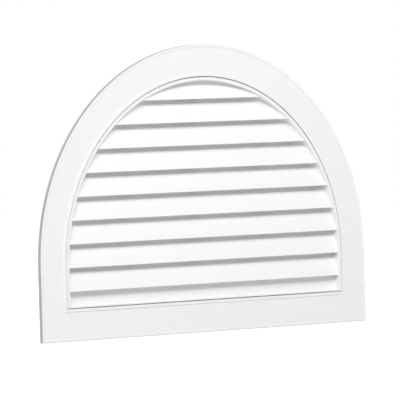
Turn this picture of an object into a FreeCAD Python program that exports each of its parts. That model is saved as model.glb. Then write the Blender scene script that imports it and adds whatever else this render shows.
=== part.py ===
"""Half-round gable vent: a moulded louvre body, its clip-on trim ring and its insect screen.

Millimetres. The wall plane is y = 0 and the vent faces -Y. The origin is the centre of the arch in the
wall plane, so x = 0 is the centre line and z = 0 is the line where the arch springs from the sides.
Offsets are measured inwards from the outer outline of the vent.
"""
import FreeCAD
import Part

import math
import os

from FreeCAD import Placement, Rotation, Vector

# Overall outline: a half circle on short straight sides
vent_width = 863.6
side_height = 152.4

# Depths, from the wall plane towards the front
flange_thickness = 2.5
siding_pocket = 19.0
skirt_depth = 8.5

# Trim ring
ring_wall = 2.5
ring_edge_radius = 2.0
face_width = 58.5
outer_bead_width = 4.4
outer_bead_height = 0.4
inner_bead_width = 5.7
inner_bead_height = 1.3
inner_bead_bevel = 0.2
ring_rib_thickness = 2.0
ring_rib_setback = 1.0
ring_rib_count_per_quarter = 6
ring_rib_spacing = 100.0

# Snap fit between ring and body
seam_gap = 2.0
leg_width = 18.0
leg_end_clearance = 4.0
window_width = 13.0
window_height = 6.0
window_end_wall = 3.0
lug_clearance = 0.4
lug_catch = 1.8
stop_width = 24.0
stop_thickness = 2.5
snap_arch_angles = (-72.0, -36.0, 0.0, 36.0, 72.0)
snap_bottom_places = (-230.0, 0.0, 230.0)
snap_side_height = -70.0
stop_arch_angles = (-54.0, -18.0, 18.0, 54.0)
stop_bottom_places = (-115.0, 115.0)
stop_side_height = -20.0

# Louvre body
body_wall = 2.5
rim_width = 6.6
flange_inset = 22.0
louvre_pitch = 46.9
louvre_overlap = 1.5
least_blade_height = 12.0
blade_depth = 16.0
blade_thickness = 2.5
blade_recess = 1.4
sill_rise = 32.8
riser_setback = 13.0
web_thickness = 2.5
web_spacing = 180.0
webs_each_side = 1

# Screw holes through the nailing flange
screw_hole_radius = 2.4
side_screw_half_height = 76.2
arch_screw_angles = (17.0, 48.0)
bottom_screw_places = (100.0, 290.0)

# Insect screen and the ledge that it is staked to
ledge_width = 9.0
ledge_thickness = 2.0
screen_thickness = 0.6
screen_edge_margin = 1.0
screen_setback = 1.8
stake_radius = 1.6
stake_head_radius = 3.0
stake_head_height = 1.0
stake_hole_clearance = 0.3
stake_arch_angles = (-60.0, -20.0, 20.0, 60.0)
stake_bottom_places = (-170.0, 170.0)
stake_side_height = -30.0

# Overlap between the features of one moulding, room past a cut, and nearness of an edge to its outline
bite = 0.5
spare = 1.0
touch = 0.01

# Worked-out planes
half_width = vent_width / 2
pocket_front = -(flange_thickness + siding_pocket)
face_plane = pocket_front - skirt_depth
outer_bead_plane = face_plane - outer_bead_height
inner_bead_plane = face_plane - inner_bead_height
leg_end = -(flange_thickness + leg_end_clearance)
window_back = leg_end - window_end_wall
window_front = window_back - window_height
blade_plane = face_plane + blade_recess
riser_plane = blade_plane + riser_setback
screen_back = -screen_setback
screen_front = screen_back - screen_thickness
ledge_front = screen_front - ledge_thickness

# Worked-out offsets
ring_inner = face_width + inner_bead_width
return_outer = ring_inner - ring_wall
collar_outer = ring_inner + seam_gap
collar_inner = collar_outer + body_wall
rim_inner = collar_outer + rim_width
inner_wall = rim_inner - body_wall
ledge_inner = inner_wall + ledge_width
screw_line = (flange_inset + collar_outer) / 2

# Worked-out heights
sill_low = -side_height + collar_outer
first_blade = sill_low + sill_rise

X_AXIS = Vector(1, 0, 0)
Y_AXIS = Vector(0, 1, 0)


def half_round_face(offset, y, bottom_offset=None):
    """Flat half-round face; its bottom can have an offset of its own."""
    half = half_width - offset
    bottom = -side_height + (offset if bottom_offset is None else bottom_offset)
    corners = [Vector(-half, y, 0), Vector(-half, y, bottom), Vector(half, y, bottom), Vector(half, y, 0)]
    edges = [Part.LineSegment(start, end).toShape() for start, end in zip(corners, corners[1:])]
    edges.append(Part.Arc(corners[3], Vector(0, y, half), corners[0]).toShape())
    return Part.Face(Part.Wire(edges))


def slab(offset, front, back, bottom_offset=None):
    """Half-round slab between two depths."""
    return half_round_face(offset, front, bottom_offset).extrude(Y_AXIS * (back - front))


def band(outer, inner, front, back):
    """Half-round frame between two offsets and two depths."""
    return slab(outer, front, back).cut(slab(inner, front - spare, back + spare))


def fuse_all(shapes):
    """One clean solid from shapes that overlap."""
    return shapes[0].fuse(list(shapes[1:])).removeSplitter()


def stations(offset, arch_angles=(), side_heights=(), bottom_places=()):
    """Placements on an offset outline, each turned so that its own +Z points outwards."""
    half = half_width - offset
    places = []
    for angle in arch_angles:
        turn = math.radians(angle)
        places.append(Placement(Vector(half * math.sin(turn), 0, half * math.cos(turn)), Rotation(Y_AXIS, angle)))
    for height in side_heights:
        places.append(Placement(Vector(-half, 0, height), Rotation(Y_AXIS, -90)))
        places.append(Placement(Vector(half, 0, height), Rotation(Y_AXIS, 90)))
    for x in bottom_places:
        places.append(Placement(Vector(x, 0, -side_height + offset), Rotation(Y_AXIS, 180)))
    return places


def placed(shape, places):
    """A copy of a shape at each placement."""
    copies = []
    for place in places:
        copy = shape.copy()
        copy.Placement = place
        copies.append(copy)
    return copies


def block(width, front, back, low, high):
    """Block at a station: its width along the outline, its depths, and its reach outwards."""
    return Part.makeBox(width, back - front, high - low, Vector(-width / 2, front, low))


def post(radius, front, back):
    """Round post at a station, along the depth."""
    return Part.makeCylinder(radius, back - front, Vector(0, front, 0), Y_AXIS)


def across(points):
    """Closed (y, z) profile extruded across the whole width of the vent."""
    corners = [Vector(-half_width, y, z) for y, z in points]
    return Part.Face(Part.makePolygon(corners + corners[:1])).extrude(X_AXIS * vent_width)


def edges_along(shape, offset, y):
    """Edges of a shape that lie on the outline with this offset at this depth."""
    outline = half_round_face(offset, y).OuterWire
    found = []
    for edge in shape.Edges:
        middle = edge.valueAt((edge.FirstParameter + edge.LastParameter) / 2)
        if abs(middle.y - y) < touch and outline.distToShape(Part.Vertex(middle))[0] < touch:
            found.append(edge)
    return found


def snap_stations(offset):
    """Where the legs of the ring, their windows and the lugs of the body meet."""
    return stations(offset, snap_arch_angles, (snap_side_height,), snap_bottom_places)


def make_ring_shell():
    """Face with a raised bead along both edges, the skirt round its outside and the return round its opening."""
    face_back = face_plane + ring_wall
    plate = band(0, ring_inner, face_plane, face_back)
    outer_bead = band(0, outer_bead_width, outer_bead_plane, face_back)
    inner_bead = band(face_width, ring_inner, inner_bead_plane, face_back)
    skirt = band(0, ring_wall, face_plane, pocket_front)
    inner_return = band(return_outer, ring_inner, face_plane, pocket_front)
    shell = fuse_all([plate, outer_bead, inner_bead, skirt, inner_return])
    shell = shell.makeFillet(ring_edge_radius, edges_along(shell, 0, outer_bead_plane))
    bead_edges = edges_along(shell, face_width, inner_bead_plane) + edges_along(shell, ring_inner, inner_bead_plane)
    return shell.makeChamfer(inner_bead_bevel, bead_edges)


def make_ring_ribs():
    """Low ribs behind the face, from skirt to return."""
    step = 90.0 / ring_rib_count_per_quarter
    arch = [step * (count + 0.5) for count in range(-ring_rib_count_per_quarter, ring_rib_count_per_quarter)]
    bottom_steps = int((half_width - return_outer) / ring_rib_spacing)
    bottom = [ring_rib_spacing * count for count in range(-bottom_steps, bottom_steps + 1)]
    rib = block(ring_rib_thickness, face_plane, pocket_front, -return_outer - bite, 0)
    back = pocket_front - ring_rib_setback
    room = band(ring_wall - bite, return_outer + bite, face_plane + ring_wall - bite, back)
    return [copy.common(room) for copy in placed(rib, stations(0, arch, (-side_height / 2,), bottom))]


def make_trim_ring():
    """Ring that snaps over the collar of the body and covers the cut edge of the siding."""
    leg = block(leg_width, face_plane + ring_wall, leg_end, -ring_wall, 0)
    legs = placed(leg, snap_stations(return_outer))
    window = block(window_width, window_front, window_back, -ring_wall - spare, spare)
    windows = placed(window, snap_stations(return_outer))
    return fuse_all([make_ring_shell()] + legs + make_ring_ribs()).cut(windows)


def louvre_heights():
    """Height of the lower edge of each blade, from the sill up to the arch."""
    height = first_blade
    heights = []
    while height < half_width - rim_inner - least_blade_height:
        heights.append(height)
        height += louvre_pitch
    return heights


def sloping_plate(front, low, depth, high):
    """Plate that runs up from a level lower edge, and back by a depth."""
    back = front + depth
    return across([(front, low), (front + blade_thickness, low), (back + blade_thickness, high), (back, high)])


def make_blade(low):
    """Louvre blade; its upper edge laps behind the blade above."""
    return sloping_plate(blade_plane, low, blade_depth, low + louvre_pitch + louvre_overlap)


def make_webs(heights):
    """Upright webs behind the blades and the riser, back to the screen."""
    middle = blade_thickness / 2
    run = blade_depth * louvre_pitch / (louvre_pitch + louvre_overlap)
    fields = [(riser_plane, sill_low, 0, first_blade)]
    fields += [(blade_plane, low, run, low + louvre_pitch) for low in heights]
    behind = []
    for front, low, depth, high in fields:
        behind.append(across([(front + middle, low), (screen_front, low), (screen_front, high),
                              (front + middle + depth, high)]))
    behind = fuse_all(behind)
    webs = []
    for step in range(-webs_each_side, webs_each_side + 1):
        place = Vector(web_spacing * step - web_thickness / 2, face_plane, -half_width)
        webs.append(behind.common(Part.makeBox(web_thickness, -face_plane, vent_width, place)))
    return webs


def make_louvres():
    """Riser above the sill, blades and webs, trimmed to the opening."""
    heights = louvre_heights()
    riser = sloping_plate(riser_plane, sill_low, 0, first_blade + louvre_overlap)
    louvres = fuse_all([make_blade(low) for low in heights] + [riser] + make_webs(heights))
    return louvres.common(slab(rim_inner - bite, face_plane, screen_front, collar_outer + bite))


def make_frame():
    """Nailing flange, collar with the sill as its bottom, flat rim, inner wall and screen ledge."""
    flange = band(flange_inset, collar_inner, -flange_thickness, 0)
    collar = band(collar_outer, collar_inner, face_plane, 0)
    opening = slab(rim_inner, face_plane - spare, spare, collar_inner)
    rim = slab(collar_outer, face_plane, face_plane + body_wall).cut(opening)
    wall = slab(inner_wall, face_plane, screen_front, collar_outer).cut(opening)
    ledge = slab(inner_wall, ledge_front, screen_front, collar_outer)
    ledge = ledge.cut(slab(ledge_inner, ledge_front - spare, spare))
    return [flange, collar, rim, wall, ledge]


def make_lug():
    """Wedge on the collar, with its ramp to the front, that the end of a window catches behind."""
    side = -window_width / 2 + lug_clearance
    front = window_front + lug_clearance
    back = window_back - lug_clearance
    corners = [Vector(side, front, -bite), Vector(side, back, -bite),
               Vector(side, back, seam_gap + lug_catch), Vector(side, front, seam_gap / 2)]
    return Part.Face(Part.makePolygon(corners + corners[:1])).extrude(X_AXIS * (-2 * side))


def make_stops():
    """Pads on the collar that the return of the ring seats against."""
    stop = block(stop_width, pocket_front, pocket_front + stop_thickness, -bite, seam_gap + ring_wall)
    return placed(stop, stations(collar_outer, stop_arch_angles, (stop_side_height,), stop_bottom_places))


def stake_stations():
    """Where the screen is staked to its ledge."""
    places = stations(inner_wall + ledge_width / 2, stake_arch_angles, (stake_side_height,))
    return places + stations((collar_inner + ledge_inner) / 2, bottom_places=stake_bottom_places)


def make_stake():
    """Post through the screen with its flattened head."""
    head = post(stake_head_radius, screen_back, screen_back + stake_head_height)
    return head.fuse(post(stake_radius, screen_front - bite, screen_back))


def screw_places():
    """Screw holes of the flange: a rectangle at the sides, then pairs over the arch and along the bottom."""
    radius = half_width - screw_line
    side_x = math.sqrt(radius ** 2 - side_screw_half_height ** 2)
    points = [(side_x, side_screw_half_height), (side_x, -side_screw_half_height)]
    for angle in arch_screw_angles:
        turn = math.radians(angle)
        points.append((radius * math.sin(turn), radius * math.cos(turn)))
    points += [(x, -side_height + screw_line) for x in bottom_screw_places]
    return [Placement(Vector(sign * x, 0, z), Rotation()) for x, z in points for sign in (-1, 1)]


def make_louvre_body():
    """Louvre panel with its frame, snap lugs, stops and stakes, all one moulding."""
    lugs = placed(make_lug(), snap_stations(collar_outer))
    stakes = placed(make_stake(), stake_stations())
    body = fuse_all(make_frame() + [make_louvres()] + lugs + make_stops() + stakes)
    hole = post(screw_hole_radius, -flange_thickness - spare, spare)
    return body.cut(placed(hole, screw_places()))


def make_insect_screen():
    """Thin woven screen, cut to the ledge and pierced for the stakes."""
    sheet = slab(inner_wall + screen_edge_margin, screen_front, screen_back, collar_inner + screen_edge_margin)
    hole = post(stake_radius + stake_hole_clearance, screen_front - spare, screen_back + spare)
    return sheet.cut(placed(hole, stake_stations()))


os.makedirs("parts", exist_ok=True)
make_trim_ring().exportStep("parts/trim_ring.step")
make_louvre_body().exportStep("parts/louvre_body.step")
make_insect_screen().exportStep("parts/insect_screen.step")
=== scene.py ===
import math

import bmesh
import bpy
from mathutils import Matrix, Vector


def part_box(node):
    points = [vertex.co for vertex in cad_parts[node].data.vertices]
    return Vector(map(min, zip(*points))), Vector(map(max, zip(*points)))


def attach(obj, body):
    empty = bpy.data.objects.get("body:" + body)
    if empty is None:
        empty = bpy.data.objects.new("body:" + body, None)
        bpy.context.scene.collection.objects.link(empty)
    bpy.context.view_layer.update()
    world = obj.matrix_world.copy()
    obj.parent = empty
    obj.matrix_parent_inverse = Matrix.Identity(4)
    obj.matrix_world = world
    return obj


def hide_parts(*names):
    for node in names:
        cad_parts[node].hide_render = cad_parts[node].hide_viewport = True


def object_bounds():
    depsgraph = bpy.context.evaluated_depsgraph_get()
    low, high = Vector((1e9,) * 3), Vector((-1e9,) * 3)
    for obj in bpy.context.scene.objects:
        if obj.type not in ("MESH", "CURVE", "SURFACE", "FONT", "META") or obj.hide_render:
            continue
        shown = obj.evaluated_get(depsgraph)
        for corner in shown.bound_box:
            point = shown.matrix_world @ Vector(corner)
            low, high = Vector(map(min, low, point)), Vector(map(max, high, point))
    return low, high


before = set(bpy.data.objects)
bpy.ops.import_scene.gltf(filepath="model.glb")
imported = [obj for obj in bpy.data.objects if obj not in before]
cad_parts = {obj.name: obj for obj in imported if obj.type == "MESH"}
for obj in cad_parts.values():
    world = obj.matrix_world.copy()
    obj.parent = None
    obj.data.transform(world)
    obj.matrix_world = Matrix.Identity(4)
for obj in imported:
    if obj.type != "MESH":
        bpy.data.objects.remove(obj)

MM = 0.001
WHITE = (1.0, 1.0, 1.0, 1.0)
MIXED_COLOUR = 2  # output of a Mix node for colours; its inputs are 0, 6 and 7
VENT_MIDDLE = Vector((0.0, 0.0, 0.14))

cad_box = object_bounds()
scene = bpy.context.scene


# Node and colour helpers

def linear(hex_colour):
    """sRGB hex colour as linear RGBA."""
    channels = [int(hex_colour[i:i + 2], 16) / 255 for i in (1, 3, 5)]
    return [c / 12.92 if c <= 0.04045 else ((c + 0.055) / 1.055) ** 2.4 for c in channels] + [1.0]


def add_node(tree, kind, settings=None, **links):
    """Adds a node, sets its properties and fills its inputs with values or links.

    An input is named with underscores for spaces, or by its number as in_0.
    """
    node = tree.nodes.new(kind)
    for name, value in (settings or {}).items():
        setattr(node, name, value)
    for name, value in links.items():
        key = int(name[3:]) if name.startswith("in_") else name.replace("_", " ")
        socket = node.inputs[key]
        if isinstance(value, bpy.types.NodeSocket):
            tree.links.new(value, socket)
        else:
            socket.default_value = value
    return node


def new_material(name):
    """Empty node material with its output node."""
    material = bpy.data.materials.new(name)
    material.use_nodes = True
    tree = material.node_tree
    tree.nodes.clear()
    return material, tree, tree.nodes.new("ShaderNodeOutputMaterial")


def background_rays(tree):
    """1 for the rays that show the white background: from the camera, in reflections, through glass."""
    path = add_node(tree, "ShaderNodeLightPath")
    seen = path.outputs["Is Camera Ray"]
    for kind in ("Is Glossy Ray", "Is Transmission Ray"):
        seen = add_node(tree, "ShaderNodeMath", {"operation": "MAXIMUM"},
                        in_0=seen, in_1=path.outputs[kind]).outputs["Value"]
    return seen


def past_outline(tree, place):
    """How far a point lies beyond the half-round outline, in metres; below 0 inside it."""
    half_width, bottom = cad_box[1].x, cad_box[0].z
    split = add_node(tree, "ShaderNodeSeparateXYZ", Vector=place)
    height = add_node(tree, "ShaderNodeMath", {"operation": "MAXIMUM"},
                      in_0=split.outputs["Z"], in_1=0.0)
    spoke = add_node(tree, "ShaderNodeCombineXYZ", X=split.outputs["X"], Z=height.outputs["Value"])
    radius = add_node(tree, "ShaderNodeVectorMath", {"operation": "LENGTH"},
                      in_0=spoke.outputs["Vector"])
    past_side = add_node(tree, "ShaderNodeMath", {"operation": "SUBTRACT"},
                         in_0=radius.outputs["Value"], in_1=half_width)
    past_bottom = add_node(tree, "ShaderNodeMath", {"operation": "SUBTRACT"},
                           in_0=bottom, in_1=split.outputs["Z"])
    past = add_node(tree, "ShaderNodeMath", {"operation": "MAXIMUM"},
                    in_0=past_side.outputs["Value"], in_1=past_bottom.outputs["Value"])
    return past.outputs["Value"]


# Materials

def white_polypropylene():
    """Injection-moulded white polypropylene: satin, with a spark-eroded grain and faint flow streaks.

    The streaks are drawn out along the blades. The real grain is finer, and is drawn this coarse to
    show. The skirt round the outside is painted greyer: painted shade on the outer side wall.
    """
    streak_size = Vector((420.0, 6.0, 3.0)) * MM
    grain_size, grain_depth, grain_strength = 1.6 * MM, 0.06 * MM, 0.06
    painted_shade_from, painted_shade_to = -1.0 * MM, -0.3 * MM
    fillet_start, fillet_end, fillet_depth = -5.8 * MM, -4.4 * MM, 0.4 * MM
    material, tree, output = new_material("moulded_white_polypropylene")
    place = add_node(tree, "ShaderNodeTexCoord").outputs["Object"]
    past = past_outline(tree, place)

    drawn = add_node(tree, "ShaderNodeVectorMath", {"operation": "DIVIDE"},
                     in_0=place, in_1=streak_size)
    flow = add_node(tree, "ShaderNodeTexNoise", Vector=drawn.outputs["Vector"],
                    Scale=1.0, Detail=2.0).outputs["Fac"]
    streaks = add_node(tree, "ShaderNodeMix", {"data_type": "RGBA"}, in_0=flow,
                       in_6=linear("#F2F2F2"), in_7=linear("#F7F7F7"))
    # Painted shade: the outermost skirt is mixed to a grey, standing in for shade on the side wall
    painted_skirt_shade = add_node(tree, "ShaderNodeMapRange", Value=past,
                     From_Min=painted_shade_from, From_Max=painted_shade_to)
    colour = add_node(tree, "ShaderNodeMix", {"data_type": "RGBA"}, in_0=painted_skirt_shade.outputs["Result"],
                      in_6=streaks.outputs[MIXED_COLOUR], in_7=linear("#C3C3C3"))
    rough = add_node(tree, "ShaderNodeMapRange", Value=flow, From_Min=0.3, From_Max=0.7,
                     To_Min=0.42, To_Max=0.48)

    grain = add_node(tree, "ShaderNodeTexNoise", Vector=place, Scale=1 / grain_size, Detail=2.0)
    grained = add_node(tree, "ShaderNodeBump", Height=grain.outputs["Fac"],
                       Strength=grain_strength, Distance=grain_depth)
    # Small fillet at the foot of the outer bead, which is itself in the solid
    fillet = add_node(tree, "ShaderNodeMapRange", Value=past,
                      From_Min=fillet_start, From_Max=fillet_end)
    relief = add_node(tree, "ShaderNodeBump", Height=fillet.outputs["Result"],
                      Distance=fillet_depth, Normal=grained.outputs["Normal"])

    shader = add_node(tree, "ShaderNodeBsdfPrincipled", Base_Color=colour.outputs[MIXED_COLOUR],
                      Roughness=rough.outputs["Result"], Normal=relief.outputs["Normal"], IOR=1.49)
    tree.links.new(shader.outputs["BSDF"], output.inputs["Surface"])
    return material


def screen_yarn():
    """Fibreglass yarn in a charcoal vinyl coat: dark, dull, slightly different from yarn to yarn."""
    slub_length = 6.0 * MM
    material, tree, output = new_material("vinyl_coated_fibreglass_yarn")
    place = add_node(tree, "ShaderNodeTexCoord").outputs["Object"]
    slub = add_node(tree, "ShaderNodeTexNoise", Vector=place,
                    Scale=1 / slub_length, Detail=2.0).outputs["Fac"]
    colour = add_node(tree, "ShaderNodeMix", {"data_type": "RGBA"}, in_0=slub,
                      in_6=linear("#282B2D"), in_7=linear("#4B4F52"))
    rough = add_node(tree, "ShaderNodeMapRange", Value=slub, To_Min=0.45, To_Max=0.65)
    shader = add_node(tree, "ShaderNodeBsdfPrincipled", Base_Color=colour.outputs[MIXED_COLOUR],
                      Roughness=rough.outputs["Result"], IOR=1.52)
    tree.links.new(shader.outputs["BSDF"], output.inputs["Surface"])
    return material


def studio_floor():
    """Pale paper sweep that keeps the shadow near the object and goes white with distance."""
    near_radius, far_radius, near_glow, far_glow = 1.0, 2.4, 0.3, 1.0
    material, tree, output = new_material("pale_paper")
    place = add_node(tree, "ShaderNodeTexCoord").outputs["Object"]
    radius = add_node(tree, "ShaderNodeVectorMath", {"operation": "LENGTH"}, in_0=place)
    far = add_node(tree, "ShaderNodeMapRange", {"interpolation_type": "SMOOTHSTEP"},
                   Value=radius.outputs["Value"], From_Min=near_radius, From_Max=far_radius,
                   To_Min=near_glow, To_Max=far_glow)
    seen = add_node(tree, "ShaderNodeMath", {"operation": "MULTIPLY"},
                    in_0=far.outputs["Result"], in_1=background_rays(tree))
    glow = add_node(tree, "ShaderNodeEmission", Strength=seen.outputs["Value"])
    paper = add_node(tree, "ShaderNodeBsdfDiffuse", Color=linear("#ECECEC"))
    both = add_node(tree, "ShaderNodeAddShader",
                    in_0=paper.outputs["BSDF"], in_1=glow.outputs["Emission"])
    tree.links.new(both.outputs["Shader"], output.inputs["Surface"])
    return material


# Insect screen: straight yarns both ways, cut to the half-round outline of the sheet

def finish_piece(name, mesh_data, material):
    """Object from a bmesh, with one material."""
    mesh = bpy.data.meshes.new(name)
    mesh_data.to_mesh(mesh)
    mesh_data.free()
    mesh.materials.append(material)
    piece = bpy.data.objects.new(name, mesh)
    scene.collection.objects.link(piece)
    return piece


def yarn(mesh_data, start, end, thickness):
    """One straight square-cut yarn between two points along X or Z."""
    size = Vector([max(abs(c), thickness) for c in end - start])
    middle = Matrix.Translation((start + end) / 2)
    bmesh.ops.create_cube(mesh_data, size=1.0, matrix=middle @ Matrix.Diagonal(size.to_4d()))


def make_insect_screen(low, high):
    """Open cloth of crossing yarns in the place of the plain sheet between two corners."""
    pitch, thickness = 1.6 * MM, 0.29 * MM
    arch_radius = high.x
    front, back = low.y + thickness / 2, high.y - thickness / 2
    cloth = bmesh.new()
    side_count = int(arch_radius / pitch)
    for step in range(-side_count, side_count + 1):
        x = step * pitch
        top = math.sqrt(arch_radius ** 2 - x ** 2)
        yarn(cloth, Vector((x, front, low.z)), Vector((x, front, top)), thickness)
    for step in range(int((high.z - low.z) / pitch)):
        z = low.z + thickness / 2 + step * pitch
        half = arch_radius if z < 0 else math.sqrt(arch_radius ** 2 - z ** 2)
        yarn(cloth, Vector((-half, back, z)), Vector((half, back, z)), thickness)
    return finish_piece("insect_screen_cloth", cloth, screen_yarn())


# Studio

def make_floor():
    """Level floor below the vent, which hangs as it would on a wall."""
    drop, floor_size = 0.3, 14.0
    level = Matrix.Translation((0, 0, cad_box[0].z - drop))
    sheet = bmesh.new()
    bmesh.ops.create_grid(sheet, x_segments=1, y_segments=1, size=floor_size, matrix=level)
    return finish_piece("studio_floor", sheet, studio_floor())


def make_lamp(name, place, width, height, power):
    """Soft box aimed at the middle of the vent."""
    lamp = bpy.data.lights.new(name, "AREA")
    lamp.shape = "RECTANGLE"
    lamp.size = width
    lamp.size_y = height
    lamp.energy = power
    holder = bpy.data.objects.new(name, lamp)
    holder.location = place
    holder.rotation_euler = (VENT_MIDDLE - Vector(place)).to_track_quat("-Z", "Y").to_euler()
    scene.collection.objects.link(holder)


def make_world(strength):
    """White to the camera and in reflections, a low even light elsewhere."""
    world = bpy.data.worlds.new("studio_air")
    world.use_nodes = True
    tree = world.node_tree
    tree.nodes.clear()
    level = add_node(tree, "ShaderNodeMapRange", Value=background_rays(tree),
                     To_Min=strength, To_Max=1.0)
    white = add_node(tree, "ShaderNodeBackground", Color=WHITE, Strength=level.outputs["Result"])
    output = tree.nodes.new("ShaderNodeOutputWorld")
    tree.links.new(white.outputs["Background"], output.inputs["Surface"])
    scene.world = world


def make_camera():
    """Long lens, level with the vent and well to its left."""
    place = Vector((-6.69796, -7.89983, 0.37769))
    right = Vector((0.76145, -0.64763, -0.02762))
    up = Vector((0.03743, 0.00139, 0.99930))
    back = Vector((-0.64714, -0.76195, 0.02530))
    camera = bpy.data.cameras.new("camera")
    camera.sensor_width = 36.0
    camera.lens = 457.93
    camera.clip_end = 100.0
    holder = bpy.data.objects.new("camera", camera)
    turn = Matrix((right, up, back)).transposed().to_4x4()
    holder.matrix_world = Matrix.Translation(place) @ turn
    scene.collection.objects.link(holder)
    scene.camera = holder


plastic = white_polypropylene()
for name in ("trim_ring", "louvre_body"):
    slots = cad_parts[name].data.materials
    slots.clear()
    slots.append(plastic)

low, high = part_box("insect_screen")
cloth = make_insect_screen(low, high)
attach(cloth, "root")
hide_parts("insect_screen")

make_floor()
make_lamp("key_lamp", place=(-3.6, -4.2, 4.13), width=4.5, height=1.18, power=340.0)
make_lamp("top_lamp", place=(0.9, -1.5, 1.8), width=1.0, height=1.0, power=13.3)
make_lamp("back_lamp", place=(3.2, 2.0, 0.4), width=1.6, height=1.6, power=57.0)
make_world(strength=0.16)
make_camera()

scene.view_settings.view_transform = "Standard"
